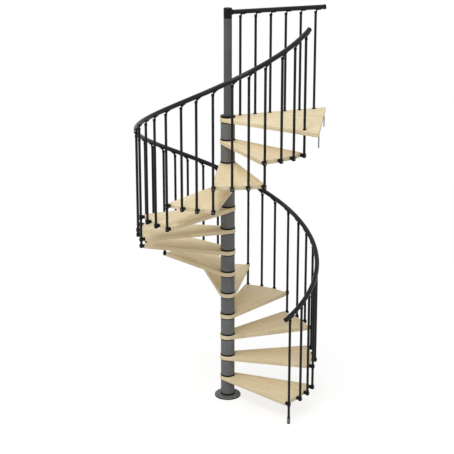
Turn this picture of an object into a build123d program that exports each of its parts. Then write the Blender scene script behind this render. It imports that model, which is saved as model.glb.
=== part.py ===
from build123d import *
import os
from math import acos, asin, atan, cos, degrees, pi, radians, sin

# Spiral staircase: a stack of spacer sleeves and wooden treads threaded on one pole, which
# climbs counter-clockwise seen from above to a triangular landing. Millimetres, +Z up, with the
# origin at the middle of the base flange's underside. Turns are in degrees from +X.

# Flight
rise = 200.0
step_count = 12
step_turn = 30.92
first_turn = -47.83

# Column
flange_d = 236.0
flange_t = 18.0
flange_bevel = 7.0
pole_d = 71.0
pole_wall = 4.0
sleeve_d = 124.0
sleeve_wall = 3.0
lower_collar_d = 130.0
lower_collar_h = 14.0
upper_collar_d = 125.0
upper_collar_h = 10.0
landing_collar_d = 130.0
landing_collar_h = 17.0
newel_h = 852.0
cap_d = 72.0
cap_h = 88.0
cap_round = 4.0

# Treads and landing
tread_t = 35.0
hub_d = 137.0
corner_margin = 20.0
corner_round = 10.0
edge_round = 3.0
landing_back_overhang = 171.0
landing_back_turn = 25.0
landing_front_overhang = 160.0
landing_front_turn = -38.7

# Balusters and the clips that hold them outside the tread edges
baluster_d = 22.0
baluster_circle_r = 790.0
clip_shares = (0.0, 0.362, 0.676, 1.0)
clip_barrel_d = 32.0
clip_h = 36.0
clip_stub_d = 34.0
clip_reach = 32.0
foot_d = 28.0
foot_h = 60.0
foot_base = 4.0
landing_ring_d = 34.0
landing_ring_h = 6.0

# Handrail
rail_d = 40.0
rail_height = 803.0
rail_lower_run = 57.0
rail_upper_run = 50.0
rail_span_count = 6
saddle_t = 5.0
saddle_half_w = 19.0
saddle_downhill = 10.0
saddle_uphill = 34.0
knob_d = 26.0
knob_h = 20.0
knob_roof = 4.0
knob_gap = 13.0
arm_d = 12.0
arm_lean = 45.0

# Straight guard along the back edge of the landing
guard_end_margin = 41.0
guard_inset = 28.0
guard_baluster_count = 6
guard_first = 130.0
guard_last_margin = 90.0
guard_saddle_start = 2.0
guard_saddle_end = 46.0
coupling_d = 48.0
coupling_start = 30.0
coupling_end = 60.0

# Angle brackets that fix the landing to the upper floor
bracket_w = 60.0
bracket_drop = 100.0
bracket_leg = 60.0
bracket_t = 6.0
bracket_hole_d = 11.0
bracket_hole_drop = 60.0
bracket_front_inset = 75.0
bracket_back_inset = 180.0

# Clearances
fit_gap = 0.3

# Worked out from the sizes above
hub_r = hub_d / 2
pole_r = pole_d / 2
cap_r = cap_d / 2
rail_r = rail_d / 2
baluster_r = baluster_d / 2
pole_bore_r = pole_r + fit_gap
baluster_bore_r = baluster_r + fit_gap
tread_r = baluster_circle_r - clip_reach
landing_top = rise * (step_count + 1)
landing_back_reach = baluster_circle_r + landing_back_overhang
landing_front_reach = baluster_circle_r + landing_front_overhang
newel_top = landing_top + newel_h
rail_slope = degrees(atan(rise / (radians(step_turn) * baluster_circle_r)))
rail_bend_r = baluster_circle_r / cos(radians(rail_slope)) ** 2
saddle_sag = max(saddle_uphill, saddle_downhill) ** 2 / (2 * rail_bend_r)
saddle_bore_r = rail_r + fit_gap + saddle_sag
saddle_outer_r = rail_r + fit_gap + saddle_t
baluster_drop = rail_r / cos(radians(rail_slope)) + knob_gap + knob_roof
guard_baluster_drop = rail_r + knob_gap + knob_roof
guard_turn = landing_back_turn - degrees(asin(hub_r / landing_back_reach))
guard_offset = hub_r - guard_inset
guard_length = landing_back_reach - guard_end_margin
guard_pitch = (guard_length - guard_first - guard_last_margin) / (guard_baluster_count - 1)
guard_height = newel_h + cap_h / 2
guard_z = landing_top + guard_height


def polar(reach, turn, z=0.0):
    """Point at a reach from the column's axis, in a direction."""
    return Vector(reach * cos(radians(turn)), reach * sin(radians(turn)), z)


def step_start(number):
    """Direction of a step's leading baluster; number 1 is the lowest tread."""
    return first_turn + (number - 1) * step_turn


def step_top(number):
    """Height of a step's walking face."""
    return rise * number


def rail_centre(turn):
    """Height of the handrail's centre line in a direction."""
    return rise + rail_height + rise * (turn - first_turn) / step_turn


def save(builder, name):
    """Label a finished piece and write it to its own file."""
    builder.part.label = name
    export_step(builder.part, f"parts/{name}.step")


def make_base_flange():
    """Round floor plate with a bevelled rim."""
    with BuildPart() as base_flange:
        with BuildSketch():
            Circle(flange_d / 2)
        extrude(amount=flange_t)
        chamfer(base_flange.edges().group_by(Axis.Z)[-1], length=flange_bevel)
    save(base_flange, "base_flange")


def make_centre_pole():
    """Tube that carries the whole stack and stands above the landing as its newel."""
    with BuildPart() as centre_pole:
        with BuildSketch(Plane.XY.offset(flange_t)):
            Circle(pole_r)
            Circle(pole_r - pole_wall, mode=Mode.SUBTRACT)
        extrude(amount=newel_top - flange_t)
    save(centre_pole, "centre_pole")


def make_newel_cap():
    """Cap on the newel's top end, with a rounded rim."""
    with BuildPart() as newel_cap:
        with BuildSketch(Plane.XY.offset(newel_top)):
            Circle(cap_r)
        extrude(amount=cap_h)
        fillet(newel_cap.edges().group_by(Axis.Z)[-1], radius=cap_round)
    save(newel_cap, "newel_cap")


def stack_floor(number):
    """Face that the sleeve below a step stands over: the flange or the step below."""
    if number == 1:
        return flange_t
    return step_top(number - 1)


def step_underside(number):
    """Lower face of a tread, or of the landing as the last step."""
    return step_top(number) - tread_t


def make_column_rings():
    """Sleeves between the steps, each between a lower and an upper collar."""
    steps = range(1, step_count + 2)
    with BuildPart() as sleeves:
        for number in steps:
            sleeve_foot = stack_floor(number) + lower_collar_h
            with BuildSketch(Plane.XY.offset(sleeve_foot)):
                Circle(sleeve_d / 2)
                Circle(sleeve_d / 2 - sleeve_wall, mode=Mode.SUBTRACT)
            extrude(amount=step_underside(number) - upper_collar_h - sleeve_foot)
    save(sleeves, "spacer_sleeves")
    with BuildPart() as lower_collars:
        for number in steps:
            with BuildSketch(Plane.XY.offset(stack_floor(number))):
                Circle(lower_collar_d / 2)
                Circle(pole_bore_r, mode=Mode.SUBTRACT)
            extrude(amount=lower_collar_h)
    save(lower_collars, "lower_collars")
    with BuildPart() as upper_collars:
        for number in steps:
            with BuildSketch(Plane.XY.offset(step_underside(number) - upper_collar_h)):
                Circle(upper_collar_d / 2)
                Circle(pole_bore_r, mode=Mode.SUBTRACT)
            extrude(amount=upper_collar_h)
    save(upper_collars, "upper_collars")
    with BuildPart() as landing_collar:
        with BuildSketch(Plane.XY.offset(landing_top)):
            Circle(landing_collar_d / 2)
            Circle(pole_bore_r, mode=Mode.SUBTRACT)
        extrude(amount=landing_collar_h)
        outer_rim = landing_collar.edges().group_by(Axis.Z)[-1].sort_by(SortBy.RADIUS)[-1]
        fillet(outer_rim, radius=cap_round)
    save(landing_collar, "landing_collar")


def make_tread(number):
    """Wedge of wood round the pole: an arc outside, and sides that run off the hub's circle."""
    middle = step_start(number) + step_turn / 2
    half_turn = step_turn / 2 + degrees(corner_margin / tread_r)
    touch_turn = half_turn + degrees(acos(hub_r / tread_r))
    lead_corner = polar(tread_r, middle - half_turn)
    back_corner = polar(tread_r, middle + half_turn)
    lead_touch = polar(hub_r, middle - touch_turn)
    back_touch = polar(hub_r, middle + touch_turn)
    with BuildPart() as tread:
        with BuildSketch(Plane.XY.offset(step_underside(number))):
            with BuildLine():
                Line(back_corner, back_touch)
                ThreePointArc(back_touch, polar(-hub_r, middle), lead_touch)
                Line(lead_touch, lead_corner)
                ThreePointArc(lead_corner, polar(tread_r, middle), back_corner)
            make_face()
            Circle(pole_bore_r, mode=Mode.SUBTRACT)
        extrude(amount=tread_t)
        corners = tread.edges().filter_by(Axis.Z).sort_by(SortBy.DISTANCE)[-2:]
        fillet(corners, radius=corner_round)
        fillet(tread.faces().sort_by(Axis.Z)[-1].outer_wire().edges(), radius=edge_round)
        fillet(tread.faces().sort_by(Axis.Z)[0].outer_wire().edges(), radius=edge_round)
    save(tread, f"tread_{number:02d}")


def make_landing():
    """Triangular top step with a straight outer edge, pierced by the last baluster."""
    back_corner = polar(landing_back_reach, landing_back_turn)
    front_corner = polar(landing_front_reach, landing_front_turn)
    back_touch_turn = landing_back_turn + degrees(acos(hub_r / landing_back_reach))
    front_touch_turn = landing_front_turn - degrees(acos(hub_r / landing_front_reach))
    hub_rear = polar(-hub_r, (landing_back_turn + landing_front_turn) / 2)
    with BuildPart() as landing:
        with BuildSketch(Plane.XY.offset(step_underside(step_count + 1))):
            with BuildLine():
                Line(back_corner, polar(hub_r, back_touch_turn))
                ThreePointArc(polar(hub_r, back_touch_turn), hub_rear, polar(hub_r, front_touch_turn))
                Line(polar(hub_r, front_touch_turn), front_corner)
                Line(front_corner, back_corner)
            make_face()
            Circle(pole_bore_r, mode=Mode.SUBTRACT)
        extrude(amount=tread_t)
        corners = landing.edges().filter_by(Axis.Z).sort_by(SortBy.DISTANCE)[-2:]
        fillet(corners, radius=corner_round)
        fillet(landing.faces().sort_by(Axis.Z)[-1].outer_wire().edges(), radius=edge_round)
        fillet(landing.faces().sort_by(Axis.Z)[0].outer_wire().edges(), radius=edge_round)
        with BuildSketch(Plane.XY.offset(landing_top)):
            with Locations(polar(baluster_circle_r, step_start(step_count + 1))):
                Circle(baluster_bore_r)
        extrude(amount=-tread_t, mode=Mode.SUBTRACT)
    save(landing, "landing")


def clip_turn(number, place):
    """Direction of one of a tread's clips."""
    return step_start(number) + clip_shares[place] * step_turn


def clip_centre(number):
    """Height of the middle of a tread's clips."""
    return step_top(number) - tread_t / 2


def clip_foot(number):
    """Lowest point of a baluster that ends in a tread's clip."""
    return clip_centre(number) - clip_h / 2


def make_balusters(number):
    """A step's uprights: the leading one reaches down to the step below, or to the floor."""
    uprights = [(step_start(number), foot_base if number == 1 else clip_foot(number - 1))]
    if number <= step_count:
        for place in range(1, len(clip_shares) - 1):
            uprights.append((clip_turn(number, place), clip_foot(number)))
    with BuildPart() as balusters:
        for turn, foot in uprights:
            with BuildSketch(Plane.XY.offset(foot)):
                with Locations(polar(baluster_circle_r, turn)):
                    Circle(baluster_r)
            extrude(amount=rail_centre(turn) - baluster_drop - foot)
    save(balusters, f"balusters_{number:02d}" if number <= step_count else "end_baluster")


def make_floor_foot():
    """Socket on the floor for the first baluster."""
    place = polar(baluster_circle_r, first_turn)
    with BuildPart() as floor_foot:
        with BuildSketch():
            with Locations(place):
                Circle(foot_d / 2)
        extrude(amount=foot_h)
        with BuildSketch(Plane.XY.offset(foot_base)):
            with Locations(place):
                Circle(baluster_bore_r)
        extrude(amount=foot_h - foot_base, mode=Mode.SUBTRACT)
    save(floor_foot, "floor_foot")


def make_edge_clips():
    """Clips on the tread edges: a stub from the wood to a barrel round the baluster."""
    with BuildPart() as clip:
        with BuildSketch(Plane.YZ.offset(tread_r)):
            Circle(clip_stub_d / 2)
        extrude(amount=baluster_circle_r - tread_r)
        with BuildSketch(Plane.XY.offset(-clip_h / 2)):
            with Locations((baluster_circle_r, 0)):
                Circle(clip_barrel_d / 2)
        extrude(amount=clip_h)
        with BuildSketch(Plane.XY.offset(-clip_h / 2)):
            with Locations((baluster_circle_r, 0)):
                Circle(baluster_bore_r)
        extrude(amount=clip_h, mode=Mode.SUBTRACT)
    places = []
    for number in range(1, step_count + 1):
        for place in range(len(clip_shares)):
            places.append(Location((0, 0, clip_centre(number)), (0, 0, clip_turn(number, place))))
    with BuildPart() as edge_clips:
        with Locations(*places):
            add(clip.part)
    save(edge_clips, "edge_clips")


def make_landing_ring():
    """Ring on the landing round the last baluster."""
    place = polar(baluster_circle_r, step_start(step_count + 1))
    with BuildPart() as landing_ring:
        with BuildSketch(Plane.XY.offset(landing_top)):
            with Locations(place):
                Circle(landing_ring_d / 2)
                Circle(baluster_bore_r, mode=Mode.SUBTRACT)
        extrude(amount=landing_ring_h)
    save(landing_ring, "landing_ring")


def make_handrail():
    """Helical tube over the balusters, in spans that meet end to end."""
    lower_end = first_turn - degrees(rail_lower_run / baluster_circle_r)
    upper_end = step_start(step_count + 1) + degrees(rail_upper_run / baluster_circle_r)
    span_steps = step_count / rail_span_count
    pitch = rise * 2 * pi / radians(step_turn)
    for span in range(rail_span_count):
        start = lower_end if span == 0 else first_turn + span * span_steps * step_turn
        stop = upper_end if span == rail_span_count - 1 else first_turn + (span + 1) * span_steps * step_turn
        with BuildPart() as straightened:
            with BuildLine() as path:
                Helix(pitch, rise * (stop - start) / step_turn, baluster_circle_r)
            with BuildSketch(path.line ^ 0):
                Circle(rail_r)
            sweep(is_frenet=True)
        with BuildPart() as rail_span:
            with Locations(Location((0, 0, rail_centre(start)), (0, 0, start))):
                add(straightened.part)
        save(rail_span, f"handrail_{span + 1:02d}")


def make_saddle(slope, bore_r, drop, start, end):
    """Cradle under a rail that climbs along +Y, on a leaning arm from a knob over the baluster."""
    along = Vector(0, cos(radians(slope)), sin(radians(slope)))
    lean = Vector(0, sin(radians(arm_lean)), cos(radians(arm_lean)))
    section = Plane(origin=along * start, x_dir=(1, 0, 0), z_dir=along)
    lip = (saddle_outer_r ** 2 - saddle_half_w ** 2) ** 0.5
    length = end - start
    with BuildPart() as saddle:
        with BuildSketch(section):
            Circle(saddle_outer_r)
            with Locations((0, (lip + saddle_outer_r) / 2)):
                Rectangle(saddle_outer_r * 2, saddle_outer_r - lip, mode=Mode.INTERSECT)
        extrude(amount=length)
        with BuildSketch(Plane.XY.offset(-drop + knob_roof)):
            Circle(knob_d / 2)
        extrude(amount=-knob_h)
        with BuildSketch(Plane(origin=(0, 0, -drop + knob_roof / 2), x_dir=(1, 0, 0), z_dir=lean)):
            Circle(arm_d / 2)
        extrude(amount=drop)
        with BuildSketch(section.offset(-rail_d)):
            Circle(bore_r)
        extrude(amount=length + rail_d * 2, mode=Mode.SUBTRACT)
        with BuildSketch(Plane.XY.offset(-drop)):
            Circle(baluster_bore_r)
        extrude(amount=-knob_h, mode=Mode.SUBTRACT)
    return saddle.part


def make_rail_saddles():
    """Cradles between the balusters' tops and the helical handrail."""
    saddle = make_saddle(rail_slope, saddle_bore_r, baluster_drop, -saddle_downhill, saddle_uphill)
    turns = [step_start(step_count + 1)]
    for number in range(1, step_count + 1):
        for place in range(len(clip_shares) - 1):
            turns.append(clip_turn(number, place))
    places = [Location(polar(baluster_circle_r, turn, rail_centre(turn)), (0, 0, turn)) for turn in turns]
    with BuildPart() as rail_saddles:
        with Locations(*places):
            add(saddle)
    save(rail_saddles, "rail_saddles")


def guard_point(reach, z):
    """Point on the guard's line, by its distance along the landing's back edge."""
    return polar(reach, guard_turn, z) + polar(guard_offset, guard_turn + 90)


def make_guard():
    """Level rail, coupled to the newel cap, along the landing's back edge on balusters with feet."""
    along = polar(1, guard_turn)
    reaches = [guard_first + guard_pitch * place for place in range(guard_baluster_count)]
    with BuildPart() as guard_rail:
        with BuildSketch(Plane(origin=guard_point(0, guard_z), z_dir=along)):
            Circle(rail_r)
        extrude(amount=guard_length)
        with BuildSketch(Plane(origin=guard_point(coupling_start, guard_z), z_dir=along)):
            Circle(coupling_d / 2)
        extrude(amount=coupling_end - coupling_start)
        with BuildSketch(Plane.XY.offset(guard_z - rail_d)):
            Circle(cap_r + fit_gap)
        extrude(amount=rail_d * 2, mode=Mode.SUBTRACT)
    save(guard_rail, "landing_rail")
    with BuildPart() as guard_balusters:
        with BuildSketch(Plane.XY.offset(landing_top)):
            with Locations(*[guard_point(reach, 0) for reach in reaches]):
                Circle(baluster_r)
        extrude(amount=guard_height - guard_baluster_drop)
    save(guard_balusters, "landing_balusters")
    with BuildPart() as guard_feet:
        with BuildSketch(Plane.XY.offset(landing_top)):
            with Locations(*[guard_point(reach, 0) for reach in reaches]):
                Circle(landing_ring_d / 2)
                Circle(baluster_bore_r, mode=Mode.SUBTRACT)
        extrude(amount=landing_ring_h)
    save(guard_feet, "landing_baluster_feet")
    saddle = make_saddle(0, rail_r + fit_gap, guard_baluster_drop, guard_saddle_start, guard_saddle_end)
    with BuildPart() as guard_saddles:
        with Locations(*[Location(guard_point(reach, guard_z), (0, 0, guard_turn - 90)) for reach in reaches]):
            add(saddle)
    save(guard_saddles, "landing_rail_saddles")


def make_landing_brackets():
    """Steel angles under the landing's outer edge, drilled for bolts into the upper floor."""
    underside = step_underside(step_count + 1)
    front_corner = polar(landing_front_reach, landing_front_turn, underside)
    back_corner = polar(landing_back_reach, landing_back_turn, underside)
    edge = back_corner - front_corner
    along = edge.normalized()
    inward = Vector(0, 0, 1).cross(along)
    with BuildPart() as landing_brackets:
        for distance in (bracket_front_inset, edge.length - bracket_back_inset):
            place = front_corner + along * distance
            with BuildSketch(Plane(origin=place, x_dir=inward, z_dir=along)):
                with BuildLine():
                    Polyline(
                        (0, 0),
                        (bracket_leg, 0),
                        (bracket_leg, -bracket_t),
                        (bracket_t, -bracket_t),
                        (bracket_t, -bracket_drop),
                        (0, -bracket_drop),
                        close=True,
                    )
                make_face()
            extrude(amount=bracket_w / 2, both=True)
            with BuildSketch(Plane(origin=place, x_dir=along, z_dir=-inward)):
                with Locations((0, -bracket_hole_drop)):
                    Circle(bracket_hole_d / 2)
            extrude(amount=-bracket_t, mode=Mode.SUBTRACT)
    save(landing_brackets, "landing_brackets")


os.makedirs("parts", exist_ok=True)
make_base_flange()
make_centre_pole()
make_newel_cap()
make_column_rings()
for step in range(1, step_count + 1):
    make_tread(step)
    make_balusters(step)
make_landing()
make_balusters(step_count + 1)
make_floor_foot()
make_edge_clips()
make_landing_ring()
make_handrail()
make_rail_saddles()
make_guard()
make_landing_brackets()
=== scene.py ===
from math import acos, asin, atan, atan2, cos, hypot, pi, radians, sin, tan

import bmesh
import bpy
from bpy.props import FloatProperty, FloatVectorProperty, IntProperty, PointerProperty
from mathutils import Matrix, Vector


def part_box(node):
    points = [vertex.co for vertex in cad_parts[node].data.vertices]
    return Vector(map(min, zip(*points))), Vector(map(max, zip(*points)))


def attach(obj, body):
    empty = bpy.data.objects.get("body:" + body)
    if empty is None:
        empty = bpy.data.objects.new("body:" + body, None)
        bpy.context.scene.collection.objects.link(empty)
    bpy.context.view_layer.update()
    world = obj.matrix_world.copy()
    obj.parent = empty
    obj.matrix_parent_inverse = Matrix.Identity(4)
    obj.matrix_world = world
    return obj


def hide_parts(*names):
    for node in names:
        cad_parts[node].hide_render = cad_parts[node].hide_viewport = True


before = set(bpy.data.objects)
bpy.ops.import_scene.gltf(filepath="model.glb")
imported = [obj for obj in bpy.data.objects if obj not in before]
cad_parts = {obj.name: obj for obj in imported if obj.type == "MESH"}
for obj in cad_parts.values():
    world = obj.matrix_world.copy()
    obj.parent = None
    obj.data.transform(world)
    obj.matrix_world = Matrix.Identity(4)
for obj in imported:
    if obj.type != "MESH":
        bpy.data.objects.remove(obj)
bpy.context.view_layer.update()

bl_info = {
    "name": "Spiral Stair",
    "version": (1, 0, 0),
    "blender": (4, 5, 0),
    "location": "3D View > Sidebar > Stair",
    "description": "Turned, swept and sawn pieces for a spiral stair, with finishes and a stage",
    "category": "Add Mesh",
}

# Fineness of the meshes
MERGE = 1e-6
SHARP_ANGLE = radians(35.0)
MITRE_LIMIT = 0.5
COLUMN_SEGMENTS = 96
SOCKET_SEGMENTS = 48
RAIL_SEGMENTS = 40
ROD_SEGMENTS = 32
STUB_SEGMENTS = 24
SCREW_SEGMENTS = 20
ARM_SEGMENTS = 20
ARC_STEPS = 24
RAIL_STEPS = 280
GUARD_STEPS = 12
WRAP_STEPS = 8
CRADLE_SHARES = (0.0, 0.06, 0.35, 0.65, 0.94, 1.0)

# Roughness and specular level of the finishes
FLANGE_GLOSS = (0.55, 0.25)
SLEEVE_GLOSS = (0.58, 0.22)
NEWEL_GLOSS = (0.58, 0.22)
SOCKET_GLOSS = (0.45, 0.25)
BALUSTER_GLOSS = (0.40, 0.14)
BRACKET_GLOSS = (0.45, 0.15)
RAIL_GLOSS = (0.22, 0.24)
FITTING_GLOSS = (0.42, 0.12)

# Stretch of the textures along each axis
EVEN = (1.0, 1.0, 1.0)
FIGURE_STRETCH = (2.4, 30.0, 30.0)
LINE_STRETCH = (9.0, 210.0, 210.0)
FLECK_STRETCH = (180.0, 1100.0, 1100.0)
CLOUD_STRETCH = (14.0, 14.0, 9.0)
FLOW_STRETCH = (1.0, 1.0, 2.0)
TURNED_STRETCH = (1.0, 1.0, 6.0)

# Fineness of the textures
FIGURE_NOISE = {"Scale": 1.0, "Detail": 5.0, "Roughness": 0.55, "Distortion": 0.4}
LINE_NOISE = {"Scale": 1.0, "Detail": 4.0, "Roughness": 0.6}
FLECK_NOISE = {"Scale": 1.0, "Detail": 2.0, "Roughness": 0.5}
CLOUD_NOISE = {"Scale": 1.0, "Detail": 3.0, "Roughness": 0.5}
PEEL_NOISE = {"Scale": 620.0, "Detail": 2.0, "Roughness": 0.5}
GRIT_NOISE = {"Scale": 2400.0, "Detail": 1.0}
FLOW_NOISE = {"Scale": 40.0, "Detail": 4.0, "Roughness": 0.6}
TURNED_NOISE = {"Scale": 900.0, "Detail": 2.0}
GRAIN_CELLS = {"Scale": 1500.0}

# Values of the textures between which a pattern fades in
NOISE_BAND = (0.3, 0.7)
FIGURE_BAND = (0.52, 0.74)
LINE_BAND = (0.50, 0.80)
FLECK_BAND = (0.62, 0.72)
SEAM_BAND = (0.485, 0.5)
GRIT_BAND = (0.60, 0.75)
FLOW_BAND = (0.35, 0.7)
TURNED_BAND = (0.35, 0.65)
FULL = (0.0, 1.0)

# Factors by which a finish's second colour is darker or lighter, and the most grit that shows
COAT_DARK = 0.86
COAT_LIGHT = 1.12
GRIT_LIGHT = 1.6
GRIT_MOST = 0.25
FLOW_LIGHT = 1.7
TURNED_LIGHT = 1.8
STEEL_METALLIC = 0.7

# Least and greatest roughness, or how far it goes below and above a finish's own
WOOD_ROUGHNESS = (0.46, 0.60)
STEEL_ROUGHNESS = (0.28, 0.42)
COAT_SPREAD = (-0.05, 0.06)
PLASTIC_SPREAD = (-0.06, 0.08)

# Strength and depth of the relief, and how much deeper a seam is than the grain
WOOD_RELIEF = (0.12, 0.0006)
COAT_RELIEF = (0.10, 0.0004)
PLASTIC_RELIEF = (0.08, 0.0003)
SEAM_DEPTH = 1.5

# Sockets of a Mix node that takes colours
MIX_COLOURS = (6, 7)
MIX_RESULT = 2

# Camera settings that a user does not change
SENSOR_WIDTH = 36.0
CLIP_END = 200.0

# Steps by which the wood's random numbers change from board to board and from block to block
BOARD_SHIFT = 0.37
BOARD_SEED = 17.0
BLOCK_SEED = 0.173
BLOCK_STAGGER = 5.0


def node_size(node):
    """Width, depth and height of a solid."""
    low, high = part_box(node)
    return high - low


def node_middle(node):
    """Middle of a solid's box."""
    low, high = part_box(node)
    return (low + high) / 2


def node_floor(node):
    """Lowest height of a solid."""
    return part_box(node)[0].z


def node_top(node):
    """Greatest height of a solid."""
    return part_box(node)[1].z


def node_reach(node):
    """Greatest distance of a solid from the column's axis."""
    return max(hypot(vertex.co.x, vertex.co.y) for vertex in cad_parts[node].data.vertices)


# Places that the solids give
STEP_COUNT = sum(name.startswith("tread_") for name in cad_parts)
FOOT_PLACE = node_middle("floor_foot")
LAST_PLACE = node_middle("end_baluster")
FIRST_TURN = atan2(FOOT_PLACE.y, FOOT_PLACE.x)
STEP_TURN = (2 * pi + atan2(LAST_PLACE.y, LAST_PLACE.x) - FIRST_TURN) / STEP_COUNT
CIRCLE_RADIUS = hypot(FOOT_PLACE.x, FOOT_PLACE.y)
RISE = node_top("tread_02") - node_top("tread_01")


def length(label, words, value):
    """A size that a user can change."""
    return FloatProperty(name=label, description=words, default=value, unit="LENGTH", precision=4)


def angle(label, words, value):
    """A turn that a user can change."""
    return FloatProperty(
        name=label, description=words, default=value, subtype="ANGLE", unit="ROTATION"
    )


def portion(label, words, value):
    """A share from 0 to 1 that a user can change."""
    return FloatProperty(
        name=label, description=words, default=value, subtype="FACTOR", min=0.0, max=1.0
    )


def power(label, words, value):
    """A lamp's power that a user can change."""
    return FloatProperty(name=label, description=words, default=value, unit="POWER")


def spot(label, words, value):
    """A place that a user can change."""
    return FloatVectorProperty(
        name=label, description=words, default=value, size=3, subtype="TRANSLATION"
    )


def paint(label, words, value):
    """A colour that a user can change."""
    return FloatVectorProperty(
        name=label, description=words, default=value, size=3, subtype="COLOR", min=0.0, max=1.0
    )


class StairSizes(bpy.types.PropertyGroup):
    """Sizes of the stair's pieces."""

    rise: length("Rise", "Height of one step", RISE)
    step_turn: angle("Step turn", "Turn from one tread to the next", STEP_TURN)
    first_turn: angle("First turn", "Direction of the lowest baluster", FIRST_TURN)
    circle: length("Baluster circle", "Radius on which the balusters stand", CIRCLE_RADIUS)

    flange_radius: length(
        "Flange radius", "Outer radius of the floor plate", node_size("base_flange").x / 2
    )
    flange_height: length(
        "Flange height", "Thickness of the floor plate", node_size("base_flange").z
    )
    flange_bevel: length("Flange bevel", "Bevel on the floor plate's upper rim", 0.007)
    # The black strip round the floor plate's lower rim is painted shade of the rim's upright side
    flange_shade_strip: length("Flange strip", "Thickness of the dark strip round the floor plate", 0.003)
    pole_radius: length("Pole radius", "Outer radius of the pole", node_size("centre_pole").x / 2)
    pole_wall: length("Pole wall", "Thickness of the pole's wall", 0.004)
    sleeve_radius: length(
        "Sleeve radius", "Outer radius of a spacer sleeve", node_size("spacer_sleeves").x / 2
    )
    sleeve_wall: length("Sleeve wall", "Thickness of a spacer sleeve's wall", 0.003)
    lower_collar_radius: length(
        "Lower collar radius", "Ring under a sleeve", node_size("lower_collars").x / 2
    )
    lower_collar_height: length("Lower collar height", "Height of the ring under a sleeve", 0.014)
    upper_collar_radius: length(
        "Upper collar radius", "Ring over a sleeve", node_size("upper_collars").x / 2
    )
    upper_collar_height: length("Upper collar height", "Height of the ring over a sleeve", 0.010)
    collar_round: length("Collar round", "Rounding of the moulded rings", 0.003)
    fine_round: length("Fine round", "Rounding of the rims of steel pieces and arms", 0.001)
    cap_radius: length("Cap radius", "Radius of the newel's cap", node_size("newel_cap").x / 2)
    cap_round: length("Cap round", "Rounding of the newel cap's rim", 0.006)

    tread_thickness: length("Tread thickness", "Thickness of the wood", node_size("tread_01").z)
    tread_radius: length("Tread radius", "Reach of the treads' curved ends", node_reach("tread_01"))
    hub_radius: length("Hub radius", "Radius of the wood round the pole", 0.0685)
    corner_margin: length("Corner margin", "Wood beyond the outer clips", 0.020)
    corner_round: length("Corner round", "Radius of the treads' outer corners", 0.010)
    edge_round: length("Edge round", "Radius of the treads' upper and lower edges", 0.003)
    landing_back_reach: length("Landing back reach", "Reach of the landing's back corner", 0.961)
    landing_back_turn: angle("Landing back turn", "Direction of the back corner", radians(25.0))
    landing_front_reach: length("Landing front reach", "Reach of the landing's front corner", 0.950)
    landing_front_turn: angle("Landing front turn", "Direction of the front corner", radians(-38.7))

    clip_shares: FloatVectorProperty(
        name="Clip shares",
        description="Places of a tread's clips along its outer end",
        default=(0.0, 0.362, 0.676, 1.0),
        size=4,
    )
    baluster_radius: length(
        "Baluster radius", "Radius of an upright", node_size("end_baluster").x / 2
    )
    baluster_round: length("Baluster round", "Rounding of an upright's ends", 0.002)
    clip_radius: length("Clip radius", "Radius of a clip's barrel", 0.016)
    clip_height: length("Clip height", "Height of a clip's barrel", 0.036)
    clip_neck: length("Clip neck", "Radius of a clip's neck", 0.0160)
    clip_rosette: length("Clip rosette", "Radius of the plate against the wood", 0.0170)
    clip_plate: length("Clip plate", "Thickness of the plate against the wood", 0.006)
    clip_taper: length("Clip taper", "Distance from the wood at which the neck begins", 0.009)
    screw_radius: length("Screw radius", "Radius of a clip's clamping screw", 0.0075)
    screw_socket: length("Screw socket", "Radius of the key hole in a clamping screw", 0.0032)
    screw_depth: length("Screw depth", "Depth of the key hole in a clamping screw", 0.003)
    screw_proud: length("Screw proud", "How far a clamping screw stands out of its clip", 0.003)
    screw_round: length("Screw round", "Rounding of a clamping screw's rims", 0.0012)
    foot_radius: length(
        "Foot radius", "Radius of the first baluster's socket", node_size("floor_foot").x / 2
    )
    foot_height: length(
        "Foot height", "Height of the first baluster's socket", node_size("floor_foot").z
    )
    foot_ring: length(
        "Foot ring", "Height of the black rings on the first baluster's socket", 0.009
    )
    foot_base: length("Foot base", "Floor of the first baluster's socket", 0.004)
    ring_radius: length(
        "Ring radius", "Radius of the rings on the landing", node_size("landing_ring").x / 2
    )
    ring_height: length(
        "Ring height", "Height of the rings on the landing", node_size("landing_ring").z
    )

    rail_radius: length("Rail radius", "Radius of the handrails", 0.020)
    rail_height: length("Rail height", "Height of the handrail over a tread's front", 0.803)
    rail_lower_run: length("Lower run", "Rail beyond the lowest baluster", 0.057)
    rail_upper_run: length("Upper run", "Rail beyond the highest baluster", 0.050)
    plug_lip: length("Plug lip", "How far a plug stands out round the helical rail", 0.0010)
    plug_length: length("Plug length", "Length of an end plug that shows", 0.014)
    plug_face: length("Plug face", "Thickness of a plug's rim beyond the rail's end", 0.002)
    plug_dome: length("Plug dome", "Thickness of a plug's middle beyond the rail's end", 0.004)
    plug_round: length("Plug round", "Rounding of a plug's rims", 0.005)
    guard_plug_lip: length(
        "Guard plug lip", "How far the plug stands out round the landing's rail", 0.0026
    )
    saddle_thickness: length("Saddle thickness", "Thickness of a cradle under the rail", 0.005)
    saddle_wrap: angle(
        "Saddle wrap", "Half the turn that a cradle reaches round the rail", radians(48.0)
    )
    saddle_downhill: length("Saddle downhill", "Cradle below its baluster", 0.010)
    saddle_uphill: length("Saddle uphill", "Cradle above its baluster", 0.034)
    knob_radius: length("Knob radius", "Radius of the knob over a baluster", 0.013)
    knob_height: length("Knob height", "Height of the knob over a baluster", 0.020)
    knob_roof: length("Knob roof", "Thickness of a knob's top", 0.004)
    knob_gap: length("Knob gap", "Air between a knob and the rail over it", 0.013)
    arm_radius: length("Arm radius", "Radius of the arm from a knob to its cradle", 0.006)
    arm_lean: angle("Arm lean", "Lean of the arm from a knob to its cradle", radians(45.0))

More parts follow.
